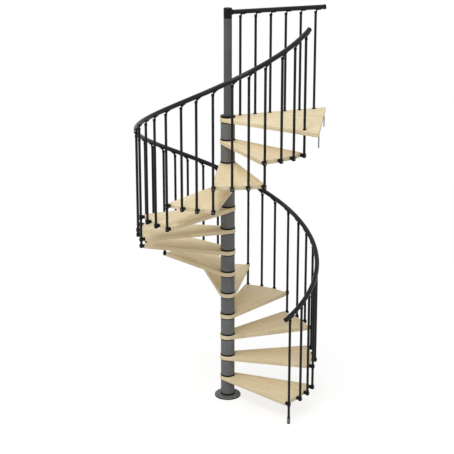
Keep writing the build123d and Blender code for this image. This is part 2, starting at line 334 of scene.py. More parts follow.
    guard_length: length("Guard length", "Length of the landing's rail", 0.920)
    guard_inset: length("Guard inset", "Distance of the guard from the landing's edge", 0.028)
    guard_first: length("Guard first", "Distance of the first guard baluster", 0.130)
    guard_pitch: length("Guard pitch", "Distance between the guard balusters", 0.140)
    guard_count: IntProperty(
        name="Guard balusters", description="Uprights on the landing", default=6, min=1
    )
    guard_saddle_start: length("Guard saddle start", "Near end of a cradle on the landing", 0.002)
    guard_saddle_end: length("Guard saddle end", "Far end of a cradle on the landing", 0.046)
    coupling_radius: length(
        "Coupling radius", "Collar that joins the landing's rail to the newel", 0.024
    )
    coupling_start: length("Coupling start", "Near end of the newel's coupling", 0.030)
    coupling_end: length("Coupling end", "Far end of the newel's coupling", 0.060)


class StairColours(bpy.types.PropertyGroup):
    """Colours of the stair's finishes."""

    wood_pale: paint("Pale wood", "Lightest staves", (0.87, 0.745, 0.505))
    wood_warm: paint("Warm wood", "Darkest staves", (0.81, 0.680, 0.445))
    wood_grain: paint("Wood grain", "Lines of late growth", (0.60, 0.45, 0.265))
    wood_fleck: paint("Wood fleck", "Fine ray flecks", (0.46, 0.30, 0.16))
    sleeve_grey: paint("Sleeve grey", "Powder coat of the sleeves", (0.162, 0.168, 0.168))
    newel_grey: paint("Newel grey", "Powder coat of the newel", (0.100, 0.100, 0.101))
    flange_grey: paint("Flange grey", "Powder coat of the floor plate", (0.150, 0.154, 0.155))
    baluster_grey: paint("Baluster grey", "Powder coat of the uprights", (0.016, 0.016, 0.016))
    bracket_grey: paint("Bracket grey", "Powder coat of the brackets", (0.012, 0.012, 0.012))
    rail_black: paint("Rail black", "Coating of the handrails", (0.005, 0.005, 0.005))
    fitting_black: paint("Fitting black", "Moulded collars, clips and caps", (0.006, 0.006, 0.006))
    screw_steel: paint("Screw steel", "Screw heads", (0.110, 0.110, 0.112))


class StairWood(bpy.types.PropertyGroup):
    """Pattern of the glued wood."""

    stave_width: length("Stave width", "Width of a stave", 0.046)
    block_length: length("Block length", "Length of a block between two joints", 0.42)
    figure_share: portion("Figure share", "Most grain colour in the broad figure", 0.42)
    line_share: portion("Line share", "Most grain colour in the lines of late growth", 0.34)
    fleck_share: portion("Fleck share", "Most fleck colour in the ray flecks", 0.40)
    seam_share: portion("Seam share", "Most fleck colour in the seams between staves", 0.35)
    shine: portion("Shine", "Specular level of the lacquer", 0.05)


class StairStage(bpy.types.PropertyGroup):
    """Camera, floor and lights."""

    camera_distance: length("Camera distance", "Distance in front of the column", 10.7974)
    camera_height: length("Camera height", "Height over the floor", 5.0841)
    camera_tilt: angle("Camera tilt", "Downward tilt", radians(16.2237))
    camera_yaw: angle("Camera yaw", "Turn to the left", radians(0.0347))
    lens: FloatProperty(
        name="Lens",
        description="Focal length of the camera",
        default=102.14,
        subtype="DISTANCE_CAMERA",
    )
    shift: FloatProperty(
        name="Shift", description="Vertical shift of the picture", default=-0.08
    )
    floor_half: length("Floor half width", "Half the width of the floor", 60.0)
    floor_white: paint("Floor white", "Colour of the floor", (0.66, 0.66, 0.66))
    floor_glow: portion("Floor glow", "Whiteness added to the floor for the camera", 0.50)
    floor_fade: portion("Floor fade", "Share of plain white next to the stair", 0.50)
    floor_near: length("Floor near", "Reach within which the floor takes the full shadow", 1.5)
    floor_far: length("Floor far", "Reach beyond which the floor is plain white", 4.5)
    sky_level: portion("Sky level", "Level light from all round", 0.63)
    softbox_size: length("Softbox size", "Width of the lamp in front", 2.4)
    softbox_power: power("Softbox power", "Power of the lamp in front", 165.0)
    softbox_place: spot("Softbox place", "Place of the lamp in front", (-1.6, -4.6, 8.0))
    toplight_size: length("Toplight size", "Width of the lamp overhead", 5.0)
    toplight_power: power("Toplight power", "Power of the lamp overhead", 80.0)
    toplight_place: spot("Toplight place", "Place of the lamp overhead", (0.0, 0.0, 9.0))
    sidelight_size: length("Sidelight size", "Width of the lamp at the left", 1.8)
    sidelight_power: power("Sidelight power", "Power of the lamp at the left", 85.0)
    sidelight_place: spot("Sidelight place", "Place of the lamp at the left", (-4.5, -2.4, 7.8))
    lamp_aim: spot("Lamp aim", "Point that the lamps face", (0.0, 0.0, 1.5))


def step_start(sizes, number):
    """Direction of a step's leading baluster; number 1 is the lowest tread."""
    return sizes.first_turn + (number - 1) * sizes.step_turn


def step_top(sizes, number):
    """Height of a step's walking face."""
    return sizes.rise * number


def step_underside(sizes, number):
    """Height of a step's lower face."""
    return step_top(sizes, number) - sizes.tread_thickness


def stack_floor(sizes, number):
    """Face under a step's sleeve: the flange or the step below."""
    return sizes.flange_height if number == 1 else step_top(sizes, number - 1)


def polar(reach, turn, height=0.0):
    """Point at a reach from the column's axis, in a direction."""
    return Vector((reach * cos(turn), reach * sin(turn), height))


def rail_point(sizes, turn):
    """Point on the helical rail's centre line."""
    climb = sizes.rise * (turn - sizes.first_turn) / sizes.step_turn
    return polar(sizes.circle, turn, sizes.rise + sizes.rail_height + climb)


def rail_slope(sizes):
    """Slope of the helical rail."""
    return atan(sizes.rise / (sizes.step_turn * sizes.circle))


def rail_place(sizes, turn):
    """Placement on the helical rail, with Z along the rail and Y up from it."""
    slope = rail_slope(sizes)
    return facing(rail_point(sizes, turn), polar(cos(slope), turn + pi / 2, sin(slope)))


def baluster_drop(sizes, slope):
    """Depth of a baluster's top under the rail's centre line."""
    return sizes.rail_radius / cos(slope) + sizes.knob_gap + sizes.knob_roof


def clip_turn(sizes, number, place):
    """Direction of one of a tread's clips."""
    return step_start(sizes, number) + sizes.clip_shares[place] * sizes.step_turn


def clip_middle(sizes, number):
    """Height of the middle of a tread's clips."""
    return step_top(sizes, number) - sizes.tread_thickness / 2


def clip_foot(sizes, number):
    """Lower end of a baluster that a tread's clip holds."""
    return clip_middle(sizes, number) - sizes.clip_height / 2


def guard_turn(sizes):
    """Direction of the landing's back edge."""
    return sizes.landing_back_turn - asin(sizes.hub_radius / sizes.landing_back_reach)


def guard_point(sizes, reach, height):
    """Point on the guard's line, by its distance along the landing's back edge."""
    turn = guard_turn(sizes)
    offset = sizes.hub_radius - sizes.guard_inset
    return polar(reach, turn, height) + polar(offset, turn + pi / 2)


def guard_reaches(sizes):
    """Distances of the guard's balusters along the landing's back edge."""
    return [sizes.guard_first + sizes.guard_pitch * place for place in range(sizes.guard_count)]


def lift(height):
    """Placement straight up the column's axis."""
    return Matrix.Translation((0.0, 0.0, height))


def facing(point, direction):
    """Placement whose own Z axis points along a direction."""
    return Matrix.Translation(point) @ direction.to_track_quat("Z", "Y").to_matrix().to_4x4()


def soften(outline, radius, closed=True, steps=4):
    """Round an outline's corners; the ends of an open outline stay and doubled points go."""
    count = len(outline)
    points = []
    for index in range(count):
        corner = Vector(outline[index])
        if not closed and index in (0, count - 1):
            points.append(corner)
            continue
        before = Vector(outline[index - 1]) - corner
        after = Vector(outline[(index + 1) % count]) - corner
        reach = min(radius, before.length / 2, after.length / 2)
        start = corner + before.normalized() * reach
        end = corner + after.normalized() * reach
        for step in range(steps + 1):
            share = step / steps
            points.append(start.lerp(corner, share).lerp(corner.lerp(end, share), share))
    single = [points[0]]
    single += [point for last, point in zip(points, points[1:]) if (point - last).length > MERGE]
    if closed and (single[-1] - single[0]).length <= MERGE:
        single.pop()
    return single


def turn_ring(bm, outline, place, segments):
    """Turn a closed outline of radius and height pairs round a placement's Z axis."""
    rows = []
    for step in range(segments):
        turn = 2 * pi * step / segments
        rows.append([bm.verts.new(place @ polar(p[0], turn, p[1])) for p in outline])
    count = len(outline)
    for step in range(segments):
        row, after = rows[step], rows[(step + 1) % segments]
        for index in range(count):
            other = (index + 1) % count
            bm.faces.new((row[index], after[index], after[other], row[other]))


def turn_solid(bm, outline, place, segments):
    """Turn an open outline, whose two ends lie on the axis, into a closed solid."""
    foot = bm.verts.new(place @ Vector((0.0, 0.0, outline[0][1])))
    head = bm.verts.new(place @ Vector((0.0, 0.0, outline[-1][1])))
    middle = outline[1:-1]
    rows = []
    for step in range(segments):
        turn = 2 * pi * step / segments
        rows.append([bm.verts.new(place @ polar(p[0], turn, p[1])) for p in middle])
    for step in range(segments):
        row, after = rows[step], rows[(step + 1) % segments]
        bm.faces.new((foot, after[0], row[0]))
        bm.faces.new((row[-1], after[-1], head))
        for index in range(len(middle) - 1):
            bm.faces.new((row[index], after[index], after[index + 1], row[index + 1]))


def tube_outline(inner, outer, foot, head, radius):
    """Closed outline of a tube with rounded rims."""
    corners = [(inner, foot), (outer, foot), (outer, head), (inner, head)]
    return soften(corners, radius)


def rod_outline(radius, foot, head, rounding):
    """Open outline of a rod with rounded ends."""
    corners = [(0.0, foot), (radius, foot), (radius, head), (0.0, head)]
    return soften(corners, rounding, closed=False)


def sweep_rod(bm, points, radius, segments=RAIL_SEGMENTS):
    """Round rod along a line of points, closed by flat ends."""
    rows = []
    side = None
    for index, point in enumerate(points):
        ahead = points[min(index + 1, len(points) - 1)]
        behind = points[max(index - 1, 0)]
        along = (ahead - behind).normalized()
        side = along.orthogonal() if side is None else side - along * side.dot(along)
        side.normalize()
        across = along.cross(side)
        row = []
        for step in range(segments):
            turn = 2 * pi * step / segments
            row.append(bm.verts.new(point + (side * cos(turn) + across * sin(turn)) * radius))
        rows.append(row)
    for row, after in zip(rows, rows[1:]):
        for step in range(segments):
            other = (step + 1) % segments
            bm.faces.new((row[step], row[other], after[other], after[step]))
    bm.faces.new(list(reversed(rows[0])))
    bm.faces.new(rows[-1])


def sweep_section(bm, places, sections):
    """Closed outlines set on a row of placements, joined and closed at both ends."""
    rows = []
    for place, section in zip(places, sections):
        rows.append([bm.verts.new(place @ Vector((p[0], p[1], 0.0))) for p in section])
    count = len(sections[0])
    for row, after in zip(rows, rows[1:]):
        for index in range(count):
            other = (index + 1) % count
            bm.faces.new((row[index], row[other], after[other], after[index]))
    bm.faces.new(list(reversed(rows[0])))
    bm.faces.new(rows[-1])


def inset_loop(outline, distance):
    """Points of a closed counter-clockwise outline, moved inwards."""
    count = len(outline)
    moved = []
    for index in range(count):
        before = (outline[index] - outline[index - 1]).normalized()
        after = (outline[(index + 1) % count] - outline[index]).normalized()
        normal = Vector((-before.y - after.y, before.x + after.x)).normalized()
        spread = max(normal.dot(Vector((-after.y, after.x))), MITRE_LIMIT)
        moved.append(outline[index] + normal * (distance / spread))
    return moved


def saw_board(bm, outline, thickness, edge_round, bore, steps=4, bore_segments=48):
    """Board of an outline with rounded edges and a round hole at the origin."""
    rows = []
    quarter = [pi / 2 * step / steps for step in range(steps + 1)]
    sections = [(edge_round * (1 - sin(a)), edge_round * (1 - cos(a))) for a in quarter]
    sections += [(inset, thickness - height) for inset, height in reversed(sections)]
    for inset, height in sections:
        loop = inset_loop(outline, inset)
        rows.append([bm.verts.new((p.x, p.y, height)) for p in loop])
    count = len(outline)
    for row, after in zip(rows, rows[1:]):
        for index in range(count):
            other = (index + 1) % count
            bm.faces.new((row[index], row[other], after[other], after[index]))
    rings = []
    for height in (0.0, thickness):
        turns = [2 * pi * step / bore_segments for step in range(bore_segments)]
        rings.append([bm.verts.new(polar(bore, turn, height)) for turn in turns])
    for index in range(bore_segments):
        other = (index + 1) % bore_segments
        bm.faces.new((rings[0][other], rings[0][index], rings[1][index], rings[1][other]))
    for loop, ring in ((rows[0], rings[0]), (rows[-1], rings[1])):
        border = []
        for edge_loop in (loop, ring):
            for index in range(len(edge_loop)):
                pair = (edge_loop[index - 1], edge_loop[index])
                border.append(bm.edges.get(pair) or bm.edges.new(pair))
        bmesh.ops.triangle_fill(bm, use_beauty=True, use_dissolve=False, edges=border)


def arc_points(reach, start, stop, steps=ARC_STEPS):
    """Points on an arc about the column's axis."""
    turns = [start + (stop - start) * step / steps for step in range(steps + 1)]
    return [Vector((reach * cos(turn), reach * sin(turn))) for turn in turns]


def round_corner(before, corner, after, radius, steps=6):
    """Points of the arc that rounds a corner between two neighbours."""
    back = (before - corner).normalized()
    ahead = (after - corner).normalized()
    half = acos(back.dot(ahead)) / 2
    centre = corner + (back + ahead).normalized() * (radius / sin(half))
    start = corner + back * (radius / tan(half)) - centre
    end = corner + ahead * (radius / tan(half)) - centre
    shares = [step / steps for step in range(steps + 1)]
    return [centre + start.slerp(end, share).normalized() * radius for share in shares]


def tread_outline(sizes):
    """A tread's outline, with its middle along X."""
    half = sizes.step_turn / 2 + sizes.corner_margin / sizes.tread_radius
    touch = half + acos(sizes.hub_radius / sizes.tread_radius)
    end = arc_points(sizes.tread_radius, -half, half)
    hub = arc_points(sizes.hub_radius, touch, 2 * pi - touch)
    lead = round_corner(hub[-1], end[0], end[1], sizes.corner_round)
    back = round_corner(end[-2], end[-1], hub[0], sizes.corner_round)
    return lead + end[1:-1] + back + hub


def landing_outline(sizes, middle):
    """The landing's outline, turned so that its middle lies along X."""
    back_turn = sizes.landing_back_turn - middle
    front_turn = sizes.landing_front_turn - middle
    back = polar(sizes.landing_back_reach, back_turn).to_2d()
    front = polar(sizes.landing_front_reach, front_turn).to_2d()
    back_touch = back_turn + acos(sizes.hub_radius / sizes.landing_back_reach)
    front_touch = front_turn - acos(sizes.hub_radius / sizes.landing_front_reach)
    hub = arc_points(sizes.hub_radius, back_touch, 2 * pi + front_touch)
    front_points = round_corner(hub[-1], front, back, sizes.corner_round)
    back_points = round_corner(front, back, hub[0], sizes.corner_round)
    return front_points + back_points + hub


def plug_outline(sizes, stand_out):
    """Outline of a rail's end plug: a lip round the rail's end and a slightly domed face."""
    lip = sizes.rail_radius + stand_out
    corners = [
        (0.0, -sizes.plug_length),
        (lip, -sizes.plug_length),
        (lip, sizes.plug_face),
        (0.0, sizes.plug_dome),
    ]
    return soften(corners, sizes.plug_round, closed=False)


def cradle_section(sizes, thickness):
    """Closed outline of a cradle's plate, wrapped round the rail's underside."""
    inner, outer = sizes.rail_radius, sizes.rail_radius + thickness
    turns = [sizes.saddle_wrap * step / WRAP_STEPS for step in range(-WRAP_STEPS, WRAP_STEPS + 1)]
    inside = [(inner * sin(turn), -inner * cos(turn)) for turn in turns]
    outside = [(outer * sin(turn), -outer * cos(turn)) for turn in reversed(turns)]
    return inside + outside


def add_piece(name, bm, material, nodes, place=None):
    """Make a piece of a mesh, set it on the stair and let it stand for its solids."""
    bmesh.ops.recalc_face_normals(bm, faces=bm.faces)
    mesh = bpy.data.meshes.new(name)
    bm.to_mesh(mesh)
    bm.free()
    mesh.polygons.foreach_set("use_smooth", [True] * len(mesh.polygons))
    mesh.set_sharp_from_angle(angle=SHARP_ANGLE)
    mesh.materials.append(material)
    piece = bpy.data.objects.new(name, mesh)
    bpy.context.scene.collection.objects.link(piece)
    if place is not None:
        piece.matrix_world = place
    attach(piece, "root")
    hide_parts(*nodes)
    return piece


def node(tree, kind, values=None, **settings):
    """Add a shader node with its settings and the values of its sockets."""
    made = tree.nodes.new(kind)
    for key, value in settings.items():
        setattr(made, key, value)
    for key, value in (values or {}).items():
        made.inputs[key].default_value = value
    return made


def finish(name):
    """New material with its node tree and its shader, or one made before without them."""
    material = bpy.data.materials.get(name)
    if material is not None:
        return material, None, None
    material = bpy.data.materials.new(name)
    material.use_nodes = True
    tree = material.node_tree
    return material, tree, tree.nodes["Principled BSDF"]


def scaled_coordinates(tree, scale):
    """Object coordinates, stretched by a scale along each axis."""
    source = node(tree, "ShaderNodeTexCoord")
    mapping = node(tree, "ShaderNodeMapping", {"Scale": scale})
    tree.links.new(source.outputs["Object"], mapping.inputs["Vector"])
    return mapping.outputs["Vector"]


def arithmetic(tree, operation, first, second):
    """Math node on two sockets or numbers."""
    made = node(tree, "ShaderNodeMath", operation=operation)
    for index, value in enumerate((first, second)):
        if isinstance(value, (int, float)):
            made.inputs[index].default_value = value
        else:
            tree.links.new(value, made.inputs[index])
    return made.outputs["Value"]


def remap(tree, value, band, target):
    """Map a varying value from one range to another."""
    made = node(
        tree, "ShaderNodeMapRange",
        {"From Min": band[0], "From Max": band[1], "To Min": target[0], "To Max": target[1]},
    )
    tree.links.new(value, made.inputs["Value"])
    return made.outputs["Result"]


def mix_colours(tree, share, first, second):
    """Mix two colours or colour sockets by a varying share."""
    made = node(tree, "ShaderNodeMix", data_type="RGBA")
    tree.links.new(share, made.inputs["Factor"])
    for key, value in zip(MIX_COLOURS, (first, second)):
        if isinstance(value, bpy.types.NodeSocket):
            tree.links.new(value, made.inputs[key])
        else:
            made.inputs[key].default_value = (*value, 1.0)
    return made.outputs[MIX_RESULT]


def shade(colour, factor):
    """A colour made darker or lighter."""
    return [min(channel * factor, 1.0) for channel in colour]


def noise(tree, stretch, values, seed=None):
    """Noise over stretched object coordinates; a seed gives each block of wood its own."""
    dimensions = "3D" if seed is None else "4D"
    made = node(tree, "ShaderNodeTexNoise", values, noise_dimensions=dimensions)
    tree.links.new(scaled_coordinates(tree, stretch), made.inputs["Vector"])
    if seed is not None:
        tree.links.new(seed, made.inputs["W"])
    return made.outputs["Fac"]


def random_share(tree, seed):
    """Random number from 0 to 1 that goes with a seed."""
    made = node(tree, "ShaderNodeTexWhiteNoise", noise_dimensions="1D")
    tree.links.new(seed, made.inputs["W"])
    return made.outputs["Value"]


def spread(roughness, limits):
    """Least and greatest roughness about a finish's own."""
    return roughness + limits[0], roughness + limits[1]


def add_bump(tree, shader, height, relief):
    """Small relief from a varying height."""
    strength, depth = relief
    bump = node(tree, "ShaderNodeBump", {"Strength": strength, "Distance": depth})
    tree.links.new(height, bump.inputs["Height"])
    tree.links.new(bump.outputs["Normal"], shader.inputs["Normal"])


def pale_wood(colours, wood):
    """Lacquered staves glued side by side, with grain along each board's own X axis."""
    material, tree, shader = finish("stave_wood")
    if tree is None:
        return material
    board = node(tree, "ShaderNodeObjectInfo").outputs["Object Index"]
    axes = node(tree, "ShaderNodeSeparateXYZ")
    source = node(tree, "ShaderNodeTexCoord")
    tree.links.new(source.outputs["Object"], axes.inputs["Vector"])

    # Staves lie side by side along Y, and each is joined of blocks along X
    across = arithmetic(tree, "DIVIDE", axes.outputs["Y"], wood.stave_width)
    across = arithmetic(tree, "ADD", across, arithmetic(tree, "MULTIPLY", board, BOARD_SHIFT))
    stave = arithmetic(tree, "FLOOR", across, 0.0)
    board_seed = arithmetic(tree, "MULTIPLY", board, BOARD_SEED)
    stave_seed = arithmetic(tree, "ADD", stave, board_seed)
    stagger = arithmetic(tree, "MULTIPLY", random_share(tree, stave_seed), BLOCK_STAGGER)
    run = arithmetic(tree, "DIVIDE", axes.outputs["X"], wood.block_length)
    block = arithmetic(tree, "FLOOR", arithmetic(tree, "ADD", run, stagger), 0.0)
    block_step = arithmetic(tree, "MULTIPLY", block, BLOCK_SEED)
    block_seed = arithmetic(tree, "ADD", stave_seed, block_step)
    tone = random_share(tree, block_seed)

    figure = noise(tree, FIGURE_STRETCH, FIGURE_NOISE, block_seed)
    lines = noise(tree, LINE_STRETCH, LINE_NOISE, block_seed)
    flecks = noise(tree, FLECK_STRETCH, FLECK_NOISE)
    base = mix_colours(tree, tone, colours.wood_pale, colours.wood_warm)
    for pattern, band, most, colour in (
        (figure, FIGURE_BAND, wood.figure_share, colours.wood_grain),
        (lines, LINE_BAND, wood.line_share, colours.wood_grain),
        (flecks, FLECK_BAND, wood.fleck_share, colours.wood_fleck),
    ):
        base = mix_colours(tree, remap(tree, pattern, band, (0.0, most)), base, colour)
    place = arithmetic(tree, "SUBTRACT", across, stave)
    seam = arithmetic(tree, "ABSOLUTE", arithmetic(tree, "SUBTRACT", place, 0.5), 0.0)
    seam_share = remap(tree, seam, SEAM_BAND, (0.0, wood.seam_share))
    base = mix_colours(tree, seam_share, base, colours.wood_fleck)
    tree.links.new(base, shader.inputs["Base Color"])
    roughness = remap(tree, lines, NOISE_BAND, WOOD_ROUGHNESS)
    tree.links.new(roughness, shader.inputs["Roughness"])
    shader.inputs["Specular IOR Level"].default_value = wood.shine
    groove = arithmetic(tree, "MULTIPLY", seam_share, SEAM_DEPTH)
    add_bump(tree, shader, arithmetic(tree, "SUBTRACT", lines, groove), WOOD_RELIEF)
    return material


def powder_coat(name, colour, gloss):
    """Baked paint with a fine orange-peel skin."""
    material, tree, shader = finish(name)
    if tree is None:
        return material
    roughness, shine = gloss
    cloud = noise(tree, CLOUD_STRETCH, CLOUD_NOISE)
    peel = noise(tree, EVEN, PEEL_NOISE)
    grit = noise(tree, EVEN, GRIT_NOISE)
    clouded = remap(tree, cloud, NOISE_BAND, FULL)
    base = mix_colours(tree, clouded, shade(colour, COAT_DARK), shade(colour, COAT_LIGHT))
    speck = remap(tree, grit, GRIT_BAND, (0.0, GRIT_MOST))
    base = mix_colours(tree, speck, base, shade(colour, GRIT_LIGHT))
    tree.links.new(base, shader.inputs["Base Color"])
    varied = remap(tree, cloud, NOISE_BAND, spread(roughness, COAT_SPREAD))
    tree.links.new(varied, shader.inputs["Roughness"])
    shader.inputs["Specular IOR Level"].default_value = shine
    add_bump(tree, shader, peel, COAT_RELIEF)
    return material


def moulded_plastic(name, colour, gloss):
    """Moulded black plastic with a spark-eroded grain."""
    material, tree, shader = finish(name)
    if tree is None:
        return material
    roughness, shine = gloss
    grain = node(tree, "ShaderNodeTexVoronoi", GRAIN_CELLS)
    tree.links.new(scaled_coordinates(tree, EVEN), grain.inputs["Vector"])
    flow = noise(tree, FLOW_STRETCH, FLOW_NOISE)
    flowed = remap(tree, flow, FLOW_BAND, FULL)
    base = mix_colours(tree, flowed, colour, shade(colour, FLOW_LIGHT))
    tree.links.new(base, shader.inputs["Base Color"])
    varied = remap(tree, flow, NOISE_BAND, spread(roughness, PLASTIC_SPREAD))
    tree.links.new(varied, shader.inputs["Roughness"])
    shader.inputs["Specular IOR Level"].default_value = shine
    add_bump(tree, shader, grain.outputs["Distance"], PLASTIC_RELIEF)
    return material


def blackened_steel(colours):
    """Dark screw steel with turned marks."""
    material, tree, shader = finish("screw_steel")
    if tree is None:
        return material
    marks = noise(tree, TURNED_STRETCH, TURNED_NOISE)
    turned = remap(tree, marks, TURNED_BAND, FULL)
    bright = shade(colours.screw_steel, TURNED_LIGHT)
    base = mix_colours(tree, turned, colours.screw_steel, bright)
    tree.links.new(base, shader.inputs["Base Color"])
    tree.links.new(remap(tree, marks, NOISE_BAND, STEEL_ROUGHNESS), shader.inputs["Roughness"])
    shader.inputs["Metallic"].default_value = STEEL_METALLIC
    return material


def fitting_finish(colours):
    """Finish of the collars, clips, rings and caps."""
    return moulded_plastic("fitting_black", colours.fitting_black, FITTING_GLOSS)


def baluster_finish(colours):
    """Finish of the uprights."""
    return powder_coat("baluster_coat", colours.baluster_grey, BALUSTER_GLOSS)


def rail_finish(colours):
    """Finish of the handrails."""
    return moulded_plastic("rail_coat", colours.rail_black, RAIL_GLOSS)


class STAIR_OT_base_flange(bpy.types.Operator):
    """Make the round floor plate, with a black strip round its lower rim as painted shade of the
    rim's upright side
    """

    bl_idname = "stair.base_flange"
    bl_label = "Base flange"

    def execute(self, context):
        sizes, colours = context.scene.stair_sizes, context.scene.stair_colours
        rim = sizes.flange_radius
        core = rim - sizes.flange_shade_strip
        shoulder = sizes.flange_height - sizes.flange_bevel
        bm = bmesh.new()
        outline = [
            (0.0, 0.0),
            (core, 0.0),
            (core, shoulder),
            (rim, shoulder),
            (rim - sizes.flange_bevel, sizes.flange_height),
            (0.0, sizes.flange_height),
        ]
        rounded = soften(outline, sizes.fine_round, closed=False)
        turn_solid(bm, rounded, lift(0.0), COLUMN_SEGMENTS)
        coat = powder_coat("flange_coat", colours.flange_grey, FLANGE_GLOSS)
        add_piece("floor_flange", bm, coat, ["base_flange"])

        # Black strip round the plate's lower rim: painted shade of the rim's upright side, not a
        # part of its own
        bm = bmesh.new()
        strip = tube_outline(core, rim, 0.0, shoulder, sizes.fine_round)
        turn_ring(bm, strip, lift(0.0), COLUMN_SEGMENTS)
        black = fitting_finish(colours)
        add_piece("floor_flange_strip", bm, black, ["base_flange"])
        return {"FINISHED"}


class STAIR_OT_column(bpy.types.Operator):
    """Make the sleeves between the steps and the moulded rings at their ends"""

    bl_idname = "stair.column"
    bl_label = "Sleeves and collars"

    def execute(self, context):
        sizes, colours = context.scene.stair_sizes, context.scene.stair_colours
        sleeves, lower, upper = bmesh.new(), bmesh.new(), bmesh.new()
        bore = sizes.pole_radius
        for number in range(1, STEP_COUNT + 2):
            floor = stack_floor(sizes, number)
            ceiling = step_underside(sizes, number)
            foot = floor + sizes.lower_collar_height
            head = ceiling - sizes.upper_collar_height
            inner = sizes.sleeve_radius - sizes.sleeve_wall
            wall = tube_outline(inner, sizes.sleeve_radius, foot, head, sizes.fine_round)
            turn_ring(sleeves, wall, lift(0.0), COLUMN_SEGMENTS)
            ring = tube_outline(bore, sizes.lower_collar_radius, floor, foot, sizes.collar_round)
            turn_ring(lower, ring, lift(0.0), COLUMN_SEGMENTS)
            ring = tube_outline(bore, sizes.upper_collar_radius, head, ceiling, sizes.collar_round)
            turn_ring(upper, ring, lift(0.0), COLUMN_SEGMENTS)
        coat = powder_coat("sleeve_coat", colours.sleeve_grey, SLEEVE_GLOSS)
        black = fitting_finish(colours)
        add_piece("column_sleeves", sleeves, coat, ["spacer_sleeves"])
        add_piece("sleeve_foot_rings", lower, black, ["lower_collars"])
        add_piece("sleeve_head_rings", upper, black, ["upper_collars"])
        return {"FINISHED"}


class STAIR_OT_newel(bpy.types.Operator):
    """Make the pole that stands over the landing, with its ring and its cap"""

    bl_idname = "stair.newel"
    bl_label = "Newel"

    def execute(self, context):
        sizes, colours = context.scene.stair_sizes, context.scene.stair_colours
        foot, top = node_floor("centre_pole"), node_top("centre_pole")
        black = fitting_finish(colours)

        bm = bmesh.new()
        inner = sizes.pole_radius - sizes.pole_wall
        wall = tube_outline(inner, sizes.pole_radius, foot, top, sizes.fine_round)
        turn_ring(bm, wall, lift(0.0), COLUMN_SEGMENTS)
        coat = powder_coat("newel_coat", colours.newel_grey, NEWEL_GLOSS)
        add_piece("newel_post", bm, coat, ["centre_pole"])

        bm = bmesh.new()
        ring = tube_outline(
            sizes.pole_radius,
            node_size("landing_collar").x / 2,
            step_top(sizes, STEP_COUNT + 1),
            node_top("landing_collar"),
            sizes.cap_round,
        )
        turn_ring(bm, ring, lift(0.0), COLUMN_SEGMENTS)
        add_piece("newel_foot_ring", bm, black, ["landing_collar"])

        bm = bmesh.new()
        outline = rod_outline(sizes.cap_radius, top, node_top("newel_cap"), sizes.cap_round)
        turn_solid(bm, outline, lift(0.0), COLUMN_SEGMENTS)
        add_piece("newel_top_cap", bm, black, ["newel_cap"])
        return {"FINISHED"}


class STAIR_OT_treads(bpy.types.Operator):
    """Saw the wooden treads, each with its grain along its own length"""

    bl_idname = "stair.treads"
    bl_label = "Treads"

    def execute(self, context):
        sizes, colours = context.scene.stair_sizes, context.scene.stair_colours
        material = pale_wood(colours, context.scene.stair_wood)
        outline = tread_outline(sizes)
        for number in range(1, STEP_COUNT + 1):
            bm = bmesh.new()
            saw_board(bm, outline, sizes.tread_thickness, sizes.edge_round, sizes.pole_radius)
            middle = step_start(sizes, number) + sizes.step_turn / 2
            place = lift(step_underside(sizes, number)) @ Matrix.Rotation(middle, 4, "Z")
            node_name = f"tread_{number:02d}"
            board = add_piece(f"wood_{node_name}", bm, material, [node_name], place)
            board.pass_index = number
        return {"FINISHED"}


class STAIR_OT_landing(bpy.types.Operator):
    """Saw the triangular landing"""

    bl_idname = "stair.landing"
    bl_label = "Landing"

    def execute(self, context):
        sizes, colours = context.scene.stair_sizes, context.scene.stair_colours
        middle = (sizes.landing_back_turn + sizes.landing_front_turn) / 2
        bm = bmesh.new()
        outline = landing_outline(sizes, middle)
        saw_board(bm, outline, sizes.tread_thickness, sizes.edge_round, sizes.pole_radius)
        place = lift(step_underside(sizes, STEP_COUNT + 1)) @ Matrix.Rotation(middle, 4, "Z")
        material = pale_wood(colours, context.scene.stair_wood)
        board = add_piece("wood_landing", bm, material, ["landing"], place)
        board.pass_index = STEP_COUNT + 1
        return {"FINISHED"}


